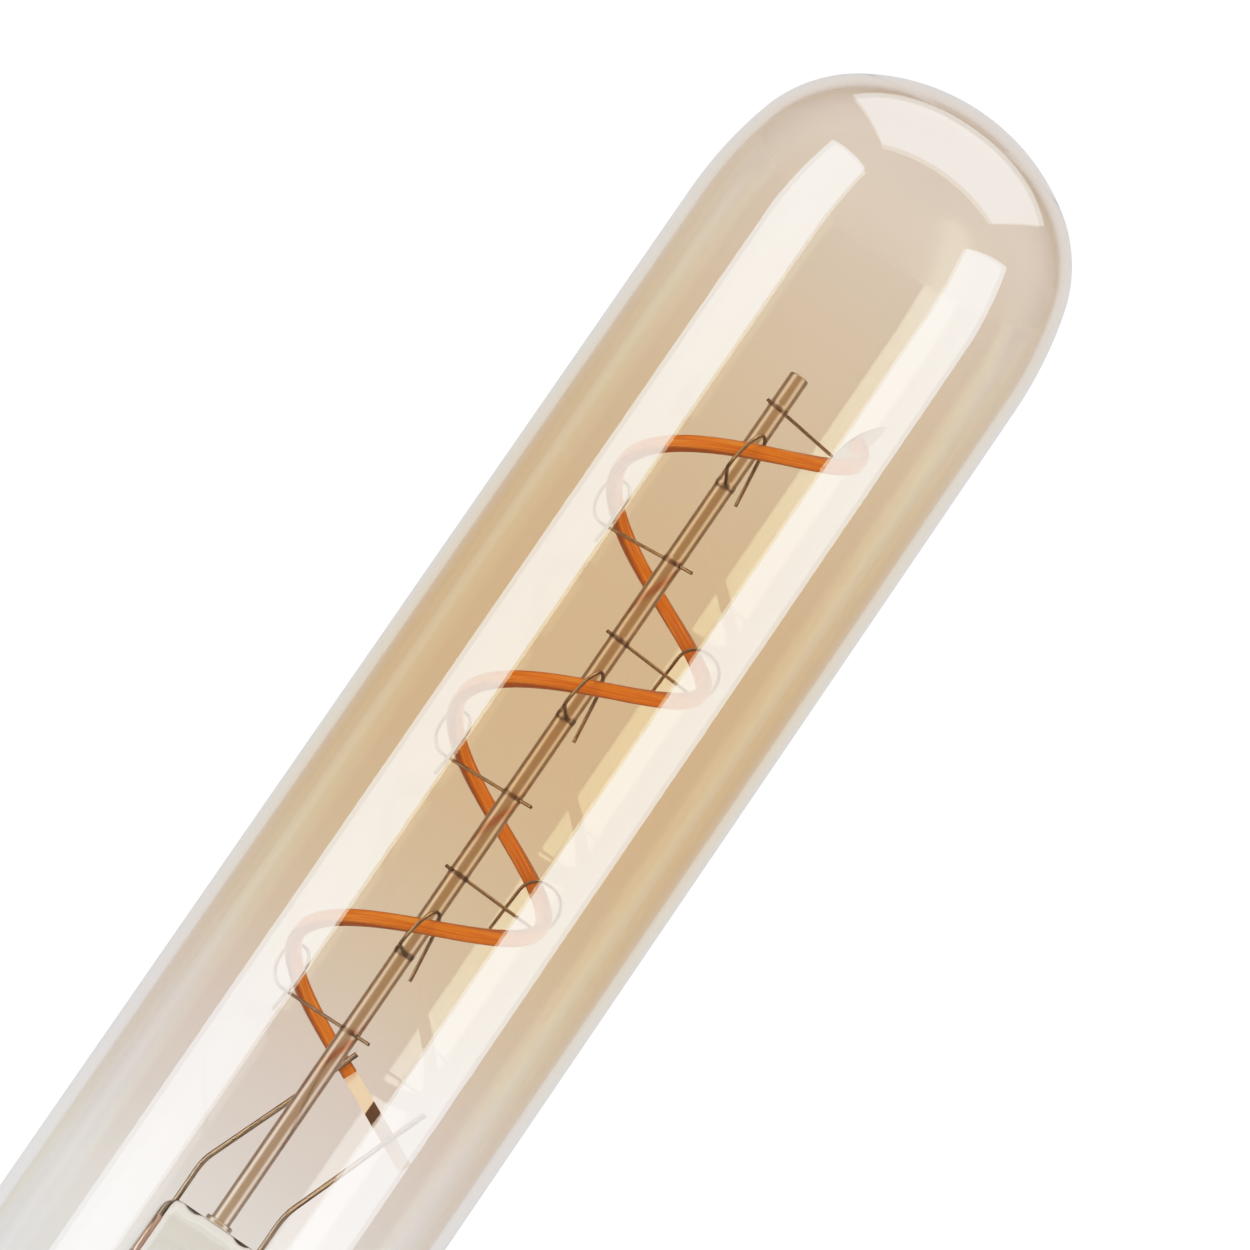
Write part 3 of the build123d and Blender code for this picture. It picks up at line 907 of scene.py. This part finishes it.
# Filament strip, tabs and wires
def makeStrip():
    bm = bmesh.new()
    corners = bmesh.ops.create_grid(bm, x_segments=1, y_segments=1, size=0.5 * mm)["verts"]
    bmesh.ops.scale(bm, vec=(coil["depth"], coil["width"], 1), verts=bm.verts)
    bmesh.ops.bevel(
        bm,
        geom=corners,
        offset=coil["corner"] * mm,
        affect="VERTICES",
        segments=coil["cornerSteps"],
        profile=0.5,
        material=-1,
    )
    lead = math.radians(coil["start"])
    out = Vector((math.cos(lead), math.sin(lead), 0))
    along = up.cross(out) * math.cos(slope) + up * math.sin(slope)
    turn = Matrix((out, along.cross(out), along)).transposed().to_4x4()
    start = coilPoint(0, coil["radius"]) * mm
    bmesh.ops.transform(bm, matrix=Matrix.Translation(start) @ turn, verts=bm.verts)
    steps = round(coil["turns"] * coil["stepsPerTurn"])
    bmesh.ops.spin(
        bm,
        geom=bm.faces[:],
        cent=(0, 0, 0),
        axis=up,
        dvec=up * coil["pitch"] * coil["turns"] / steps * mm,
        angle=math.tau * coil["turns"],
        steps=steps,
        use_merge=False,
    )
    endReach = coil["endReach"] * mm
    ends = [face for face in bm.faces if (face.calc_center_median() - start).length < endReach]
    tail = bmesh.ops.extrude_face_region(bm, geom=ends)["geom"]
    bmesh.ops.delete(bm, geom=ends, context="FACES_ONLY")
    verts = [part for part in tail if isinstance(part, bmesh.types.BMVert)]
    bmesh.ops.translate(bm, verts=verts, vec=along * -coil["tail"] * mm)
    tidyFaces(bm)
    return addPiece(bm, "filament_strip_look", [stripCoating])


def makeSupport(index):  # through the rod, out to the strip and once round it
    angle = supportAngle(index)
    loop, shift = support["loop"], support["shift"]
    far, near = coil["radius"] + loop, coil["radius"] - loop
    stub = support["stubs"][index % len(support["stubs"])]
    points = [
        coilPoint(angle, -rod["radius"] - stub, -loop),
        coilPoint(angle, far, -loop),
        coilPoint(angle, far, loop, shift / 3),
        coilPoint(angle, near, loop, shift * 2 / 3),
        coilPoint(angle, near, -loop - support["tail"], shift),
    ]
    bm = bmesh.new()
    bendWire(bm, points, support["diameter"], loop - support["slack"], support["sides"], support["arcStep"])
    return addPiece(bm, f"support_wire_{index + 1}_look", [supportMetal], sharp=60.0)


makeStrip()
copyNode("lower_end_tab", lowerTabMetal)
copyNode("upper_end_tab", tabMetal)
for index in range(support["count"] - 1):
    makeSupport(index)
copyNode(f"support_wire_{support['count']}", supportMetal)  # straight, to the upper tab
for side in ("left", "right"):
    copyNode(f"inner_lead_{side}", leadMetal)
    copyNode(f"seal_wire_{side}", sealCopper)
    copyNode(f"outer_lead_{side}", leadCopper)
print("strip, tabs and wires made")


# Screw cap
cap = {
    "lipRadius": 9.6,
    "lipLevel": 6.0,
    "root": 12.05,  # radius between the ridges of the thread
    "crest": 13.2,
    "pitch": 3.629,
    "fade": 2.2,  # height over which the ridge rises
    "runOut": 0.6,  # the ridge ends this far under the collar
    "runOutRate": 1.6,  # and falls faster than it rises
    "collarRadius": 13.05,
    "collarBottom": 20.6,
    "top": 27.0,
    "rimDrop": 0.15,  # chamfer of the upper rim
    "rimInset": 0.1,
    "sheet": 0.25,
    "sheetLift": 0.1,  # of the inner side's bends
    "rows": 60,
    "steps": 144,
}
threadBase = cap["lipLevel"] + cap["root"] - cap["lipRadius"]


def threadSwell(across, deep, level):
    end = cap["collarBottom"] - cap["runOut"]
    if not threadBase < level < end:
        return 0.0
    rise, fall = (level - threadBase) / cap["fade"], (end - level) / cap["fade"] * cap["runOutRate"]
    fade = min(1.0, rise, fall)
    ease = fade * fade * (3 - 2 * fade)
    phase = (level - threadBase) / cap["pitch"] - math.atan2(deep, across) / math.tau
    return (cap["crest"] - cap["root"]) * ease * softWave(phase)


def makeShell():
    root, collar, sheet = cap["root"], cap["collarRadius"], cap["sheet"]
    inner = collar - sheet
    threadRise = cap["collarBottom"] - (collar - root) - threadBase
    levels = [threadBase + threadRise * row / cap["rows"] for row in range(cap["rows"] + 1)]
    bm = bmesh.new()
    vert = first = startAt(bm, cap["lipRadius"], cap["lipLevel"])
    for level in levels:
        vert = lineTo(bm, vert, root, level)
    vert = lineTo(bm, vert, collar, cap["collarBottom"])
    vert = lineTo(bm, vert, collar, cap["top"] - cap["rimDrop"])
    vert = lineTo(bm, vert, collar - cap["rimInset"], cap["top"])
    vert = lineTo(bm, vert, inner, cap["top"])
    vert = lineTo(bm, vert, inner, cap["collarBottom"] + cap["sheetLift"])
    for level in reversed(levels):
        vert = lineTo(bm, vert, root - sheet, level + cap["sheetLift"])
    vert = lineTo(bm, vert, cap["lipRadius"], cap["lipLevel"] + sheet * math.sqrt(2))
    bmesh.ops.contextual_create(bm, geom=[vert, first])
    lathe(bm, cap["steps"])
    for vert in bm.verts:
        swell = threadSwell(vert.co.x, vert.co.y, vert.co.z / mm)
        vert.co += Vector((vert.co.x, vert.co.y, 0)).normalized() * swell * mm
    bmesh.ops.recalc_face_normals(bm, faces=bm.faces)
    return addPiece(bm, "screw_shell_look", [capMetal], sharp=50.0)


makeShell()
copyNode("base_insulator", insulatorGlass)
copyNode("centre_contact", contactMetal)
copyNode("base_cement", cementPaste)
nodeFinishes = {  # inside the closed cap, the frame's own nodes are enough
    "driver_board": boardGreen,
    "bridge_rectifier": chipPlastic,
    "driver_chip": chipPlastic,
    "fuse_resistor": ceramicBody,
    "sense_resistors": ceramicBody,
    "smoothing_capacitor": canSleeve,
    "contact_wire": leadCopper,
    "shell_wire": leadCopper,
}
for node, material in nodeFinishes.items():
    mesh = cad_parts[node].data
    mesh.materials.clear()
    mesh.materials.append(material)
print("cap and driver dressed")


# Studio
studio = {
    "backdrop": 2.4,  # what the camera sees past the lamp
    "behindGlass": 1.0,  # what is seen through the glass
    "behind": (0.0, 0.9925, 0.122),  # the way that the camera looks
    "dim": 0.15,  # reflections of the dark front of the studio
    "bright": 0.95,  # reflections of the pale back of the studio
    "backEdge": (0.55, 0.82),  # from dim to bright, as a share of looking straight back
    "streak": 0.7,  # a pale strip at each side
    "streakRise": (0.18, 0.34),
    "streakFall": (0.36, 0.41),
    "streakTop": (0.16, 0.3),  # it fades for rays that are this steep
}
panelLight = {
    "color": (1.0, 0.985, 0.97, 1),
    "depth": 220.0,  # from the middle to where the front and back strengths hold
    "frontWall": 2.0,  # surfaces that a ray has gone through when it meets a panel
    "farWall": 4.0,
}
sidePanels = {
    "leftPanel": {
        "side": -1,
        "stripe": (5.75, 9.75),  # distance from the axis where its reflection begins and ends
        "reach": 60.0,  # from the glass
        "low": 5.0,
        "high": 186.0,
        "glow": (10.0, 10.0),  # strength in front and at the back
        "far": 0.75,  # share of it that the far wall shows
    },
    "rightPanel": {
        "side": 1,
        "stripe": (5.75, 9.75),
        "reach": 300.0,
        "low": 5.0,
        "high": 323.0,
        "glow": (10.0, 10.0),
        "far": 0.2,
    },
}
topPanel = {
    "lift": 300.0,
    "drop": 4.0,  # the lift counts from this far under the lamp's top
    "front": 0.80,  # edges as shares of the lift
    "back": 0.50,
    "half": 0.84,
    "frontRight": 1.0,
    "glow": (7.0, 2.2),
    "far": 1.0,
}
floor = {
    "radius": 550.0,
    "fadeStart": 0.5,  # share of the radius
    "segments": 96,
    "color": (0.86, 0.855, 0.845, 1),
    "rough": 0.7,
}
lamps = {
    "softKey": {"place": (-500.0, -700.0, 700.0), "size": 500.0, "power": 9.0},
    "softFill": {"place": (700.0, -400.0, 400.0), "size": 600.0, "power": 4.5},
}
lampAim = (0.0, 0.0, 90.0)


def reflected(tree, path):  # 1 once a ray has been mirrored
    return mapRange(tree, path["Glossy Depth"], 0.0, 1.0)


def mirrorLight(tree, ray):  # what the glass mirrors of the studio
    back = doMath(tree, "DOT_PRODUCT", ray, studio["behind"], kind="ShaderNodeVectorMath")
    plain = mapRange(tree, back, *studio["backEdge"], studio["dim"], studio["bright"])
    rise = mapRange(tree, back, *studio["streakRise"], 0.0, studio["streak"])
    fall = mapRange(tree, back, *studio["streakFall"], 1.0, 0.0)
    level = mapRange(tree, splitVector(tree, ray)["Z"], *studio["streakTop"], 1.0, 0.0)
    streak = doMath(tree, "MULTIPLY", doMath(tree, "MULTIPLY", rise, fall), level)
    return doMath(tree, "ADD", plain, streak)


def makeWorld():
    world = bpy.data.worlds.new("studioWorld")
    bpy.context.scene.world = world
    world.use_nodes = True
    tree = world.node_tree
    path = lightPath(tree)
    mirrored = mirrorLight(tree, tree.nodes.new("ShaderNodeTexCoord").outputs["Generated"])
    through = mixValues(tree, "FLOAT", reflected(tree, path), studio["behindGlass"], mirrored)
    seen = mixValues(tree, "FLOAT", path["Is Camera Ray"], through, studio["backdrop"])
    feed(tree, tree.nodes["Background"], {"Color": white, "Strength": seen})


def panelGlow(name, look):  # panels show only as reflections, in the far wall by a share
    material = bpy.data.materials.new(name)
    material.use_nodes = True
    tree = material.node_tree
    tree.nodes.remove(tree.nodes["Principled BSDF"])
    path = lightPath(tree)
    depth = panelLight["depth"] * mm
    glow = mapRange(tree, splitVector(tree, objectPoint(tree))["Y"], -depth, depth, *look["glow"])
    walls = panelLight["frontWall"], panelLight["farWall"]
    share = mapRange(tree, path["Transmission Depth"], *walls, 1.0, look["far"])
    values = {"Color": panelLight["color"], "Strength": doMath(tree, "MULTIPLY", glow, share)}
    clear = tree.nodes.new("ShaderNodeBsdfTransparent")
    mixSurface(tree, reflected(tree, path), clear, addNode(tree, "ShaderNodeEmission", values))
    return material


def makePanel(name, corners, look):
    bm = bmesh.new()
    verts = [bmesh.ops.create_vert(bm, co=Vector(corner) * mm)["vert"][0] for corner in corners]
    bmesh.ops.contextual_create(bm, geom=verts)
    panel = linkMesh(bm, name, [panelGlow(name + "Glow", look)])
    panel.visible_camera = False
    panel.visible_diffuse = False
    panel.visible_shadow = False


def sideEdge(side, stripe, reach):  # plan point whose reflection falls at this distance from the axis
    radius = envelope["radius"]
    lean = math.asin(stripe / radius)
    foot = Vector((side * radius * math.sin(lean), -radius * math.cos(lean)))
    return foot + Vector((side * math.sin(2 * lean), -math.cos(2 * lean))) * reach


def makeSidePanel(name, look):
    near, far = (sideEdge(look["side"], stripe, look["reach"]) for stripe in look["stripe"])
    low, high = look["low"], look["high"]
    makePanel(name, [(*near, low), (*far, low), (*far, high), (*near, high)], look)


def makeTopPanel():
    lift = topPanel["lift"]
    level = envelope["top"] - topPanel["drop"] + lift
    front, back, half = -topPanel["front"] * lift, topPanel["back"] * lift, topPanel["half"] * lift
    frontRight = topPanel["frontRight"] * lift
    corners = [(-half, front, level), (frontRight, front, level), (half, back, level), (-half, back, level)]
    makePanel("topPanel", corners, topPanel)


def makeFloor():  # fades out towards its edge
    radius = floor["radius"] * mm
    bm = bmesh.new()
    bmesh.ops.create_circle(bm, cap_ends=True, segments=floor["segments"], radius=radius)
    bmesh.ops.translate(bm, verts=bm.verts, vec=(0, 0, cadBox[0].z))
    values = {"Base Color": floor["color"], "Roughness": floor["rough"]}
    material, tree, shader = newMaterial("paleFloor", values)
    away = doMath(tree, "LENGTH", objectPoint(tree), kind="ShaderNodeVectorMath")
    feed(tree, shader, {"Alpha": mapRange(tree, away, floor["fadeStart"] * radius, radius, 1.0, 0.0)})
    linkMesh(bm, "paleFloor", [material])


def addLamp(name, look):
    lamp = bpy.data.lights.new(name, "AREA")
    lamp.shape = "DISK"
    lamp.size = look["size"] * mm
    lamp.energy = look["power"]
    thing = bpy.data.objects.new(name, lamp)
    thing.location = Vector(look["place"]) * mm
    thing.rotation_mode = "QUATERNION"
    thing.rotation_quaternion = (Vector(lampAim) - Vector(look["place"])).to_track_quat("-Z", "Y")
    bpy.context.scene.collection.objects.link(thing)
    thing.visible_camera = False
    thing.visible_glossy = False
    thing.visible_transmission = False


for name, look in sidePanels.items():
    makeSidePanel(name, look)
makeTopPanel()
makeWorld()
makeFloor()
for name, look in lamps.items():
    addLamp(name, look)
print("studio lit")


# Camera and tone
shot = {
    "distance": 440.0,
    "tilt": 7.0,  # looking up
    "target": (-0.31, 0.0, 107.9),
    "lean": 34.46,  # the lamp leans to the right by this much
    "lens": 157.4,
    "sensor": 36.0,
    "clip": (10.0, 20000.0),
}
tone = {
    "white": 2.2,  # scene value that prints as paper white
    "points": ((0.6, 0.6), (0.8, 0.723), (1.0, 0.80), (1.4, 0.903)),  # scene value, what it prints as
}


def makeCamera():
    data = bpy.data.cameras.new("photoCamera")
    data.lens = shot["lens"]
    data.sensor_width = shot["sensor"]
    data.clip_start, data.clip_end = (distance * mm for distance in shot["clip"])
    thing = bpy.data.objects.new("photoCamera", data)
    tilt = math.radians(shot["tilt"])
    ahead = Vector((0, math.cos(tilt), math.sin(tilt)))
    thing.location = (Vector(shot["target"]) - ahead * shot["distance"]) * mm
    thing.rotation_mode = "QUATERNION"
    roll = Quaternion((0, 0, 1), math.radians(shot["lean"]))
    thing.rotation_quaternion = ahead.to_track_quat("-Z", "Y") @ roll
    bpy.context.scene.collection.objects.link(thing)
    bpy.context.scene.camera = thing


def softHighlights():
    settings = bpy.context.scene.view_settings
    settings.view_transform = "Standard"
    settings.look = "None"
    settings.use_curve_mapping = True
    mapping = settings.curve_mapping
    mapping.white_level = (tone["white"],) * 3
    combined = mapping.curves[3]
    for given, shown in tone["points"]:
        combined.points.new(given / tone["white"], shown)
    mapping.update()


makeCamera()
softHighlights()
print("camera placed")
